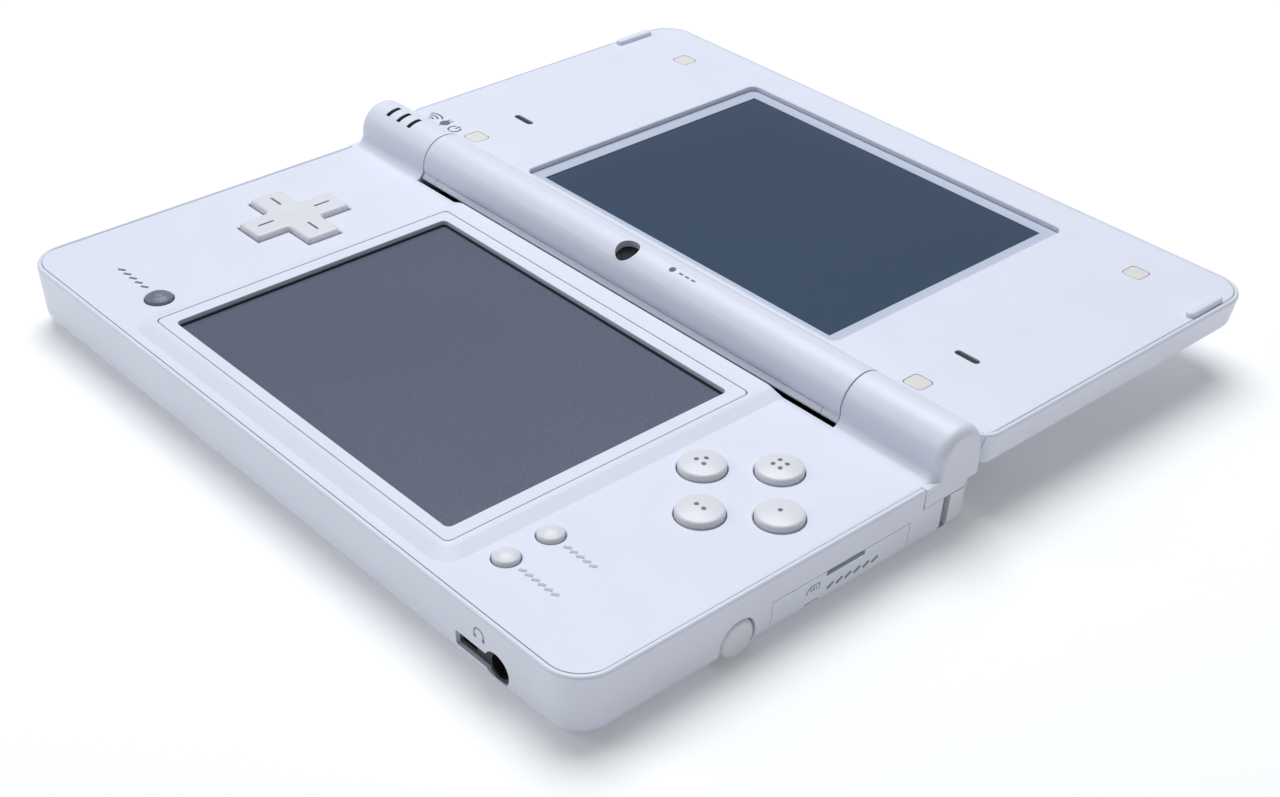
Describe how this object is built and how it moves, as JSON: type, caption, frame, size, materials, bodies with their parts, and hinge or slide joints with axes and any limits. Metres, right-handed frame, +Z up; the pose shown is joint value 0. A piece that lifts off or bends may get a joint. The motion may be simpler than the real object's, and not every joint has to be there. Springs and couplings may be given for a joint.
{
  "type": "handheld lcd game",
  "caption": "Pocket clamshell games handheld with two LCD screens, opened flat, with a direction pad, round action buttons, a hinge barrel and a stylus in its side.",
  "frame": {"origin": "on the surface it stands on, under the hinge axis and midway along it, which is the centre of the bottom of the opened object's box", "axes": "+X along the hinge to the user's right, +Y from the user over the base to the opened lid, +Z up out of the screens"},
  "size_m": [0.1372, 0.1408, 0.0181],
  "materials": {
    "shell_white": "moulded matte white plastic with a fine texture",
    "button_white": "satin white plastic",
    "power_grey": "satin grey plastic",
    "pad_white": "warm white soft rubber",
    "touch_film": "semi-gloss slate panel film",
    "screen_dark": "dark display panel behind the window",
    "window_clear": "clear hard-coated plastic window",
    "mask_lilac": "printed pale lilac-grey border",
    "gasket_black": "black foam gasket",
    "dark_window": "smoked indicator plastic",
    "lens_black": "black lens barrel",
    "board_green": "soldermask circuit board",
    "steel": "bare steel",
    "contact_gold": "gold-plated contacts",
    "black_plastic": "black moulded plastic",
    "grey_rubber": "silicone rubber mat",
    "foot_rubber": "pale grey rubber",
    "battery_grey": "shrink-wrapped battery pack",
    "ribbon_amber": "flexible circuit",
    "bush_white": "acetal bearing plastic"
  },
  "bodies": {
    "base": {"base_faceplate": "shell_white", "base_lower_shell": "shell_white", "battery_cover": "shell_white", "battery_cover_screws": "steel", "battery_pack": "battery_grey", "button_membranes": "grey_rubber", "card_contacts": "contact_gold", "case_screws": "steel", "charge_port": "black_plastic", "game_card_slot": "black_plastic", "headphone_jack": "black_plastic", "hinge_bushes": "bush_white", "indicator_windows": "dark_window", "lower_lcd": "screen_dark", "main_board": "board_green", "rubber_feet": "foot_rubber", "sd_card_socket": "steel", "shoulder_pins": "steel", "shoulder_switches": "black_plastic", "stylus_sleeve": "black_plastic", "touch_bezel": "shell_white", "touch_gasket": "gasket_black", "touch_panel": "touch_film", "wifi_module": "steel"},
    "lid": {"lid_outer_shell": "shell_white", "lid_inner_faceplate": "shell_white", "hinge_barrel_cover": "shell_white", "barrel_strip": "shell_white", "hinge_shafts": "steel", "inner_camera": "lens_black", "outer_camera": "lens_black", "microphone": "steel", "speaker_left": "black_plastic", "speaker_right": "black_plastic", "upper_window": "window_clear", "window_mask": "mask_lilac", "upper_lcd": "screen_dark", "display_ribbon": "ribbon_amber", "lid_pads": "pad_white", "lid_screws": "steel"},
    "direction_pad_seat": {"direction_pad_mat": "grey_rubber"},
    "direction_pad": {"direction_pad": "button_white"},
    "start_button": {"start_button": "button_white"},
    "select_button": {"select_button": "button_white"},
    "power_button": {"power_button": "power_grey"},
    "shoulder_left": {"shoulder_button_left": "button_white"},
    "shoulder_right": {"shoulder_button_right": "button_white"},
    "volume_rocker": {"volume_rocker": "button_white"},
    "sd_door": {"sd_door": "shell_white"},
    "stylus": {"stylus": "button_white"},
    "action_left": {"action_button_left": "button_white"},
    "action_right": {"action_button_right": "button_white"},
    "action_top": {"action_button_top": "button_white"},
    "action_bottom": {"action_button_bottom": "button_white"}
  },
  "joints": [
    {"name": "lid_hinge", "type": "hinge", "parent": "base", "child": "lid", "pos_m": [0, 0, 0.0134], "axis": [1, 0, 0], "range_deg": [0, 180]},
    {"name": "pad_tilt_y", "type": "hinge", "parent": "base", "child": "direction_pad_seat", "pos_m": [-0.05165, -0.0299, 0.01055], "axis": [1, 0, 0], "range_deg": [-2.5, 2.5], "stiffness_Nm_per_rad": 0.12},
    {"name": "pad_tilt_x", "type": "hinge", "parent": "direction_pad_seat", "child": "direction_pad", "pos_m": [-0.05165, -0.0299, 0.01055], "axis": [0, 1, 0], "range_deg": [-2.5, 2.5], "stiffness_Nm_per_rad": 0.12},
    {"name": "press_action_left", "type": "slide", "parent": "base", "child": "action_left", "axis": [0, 0, -1], "range_m": [0, 0.0005], "stiffness_N_per_m": 900},
    {"name": "press_action_right", "type": "slide", "parent": "base", "child": "action_right", "axis": [0, 0, -1], "range_m": [0, 0.0005], "stiffness_N_per_m": 900},
    {"name": "press_action_top", "type": "slide", "parent": "base", "child": "action_top", "axis": [0, 0, -1], "range_m": [0, 0.0005], "stiffness_N_per_m": 900},
    {"name": "press_action_bottom", "type": "slide", "parent": "base", "child": "action_bottom", "axis": [0, 0, -1], "range_m": [0, 0.0005], "stiffness_N_per_m": 900},
    {"name": "press_start", "type": "slide", "parent": "base", "child": "start_button", "axis": [0, 0, -1], "range_m": [0, 0.0004], "stiffness_N_per_m": 900},
    {"name": "press_select", "type": "slide", "parent": "base", "child": "select_button", "axis": [0, 0, -1], "range_m": [0, 0.0004], "stiffness_N_per_m": 900},
    {"name": "press_power", "type": "slide", "parent": "base", "child": "power_button", "axis": [0, 0, -1], "range_m": [0, 0.0004], "stiffness_N_per_m": 900},
    {"name": "shoulder_left_press", "type": "hinge", "parent": "base", "child": "shoulder_left", "pos_m": [-0.053, 0.0028, 0.005], "axis": [0, 0, 1], "range_deg": [0, 4], "stiffness_Nm_per_rad": 0.15},
    {"name": "shoulder_right_press", "type": "hinge", "parent": "base", "child": "shoulder_right", "pos_m": [0.053, 0.0028, 0.005], "axis": [0, 0, -1], "range_deg": [0, 4], "stiffness_Nm_per_rad": 0.15},
    {"name": "volume_rock", "type": "hinge", "parent": "base", "child": "volume_rocker", "pos_m": [-0.0674, -0.025, 0.0054], "axis": [0, 0, 1], "range_deg": [-3, 3], "stiffness_Nm_per_rad": 0.05},
    {"name": "sd_door_swing", "type": "hinge", "parent": "base", "child": "sd_door", "pos_m": [0.0684, -0.00975, 0.0035], "axis": [0, 0, 1], "range_deg": [0, 95]},
    {"name": "stylus_slide", "type": "slide", "parent": "base", "child": "stylus", "axis": [1, 0, 0], "range_m": [0, 0.09]}
  ]
}
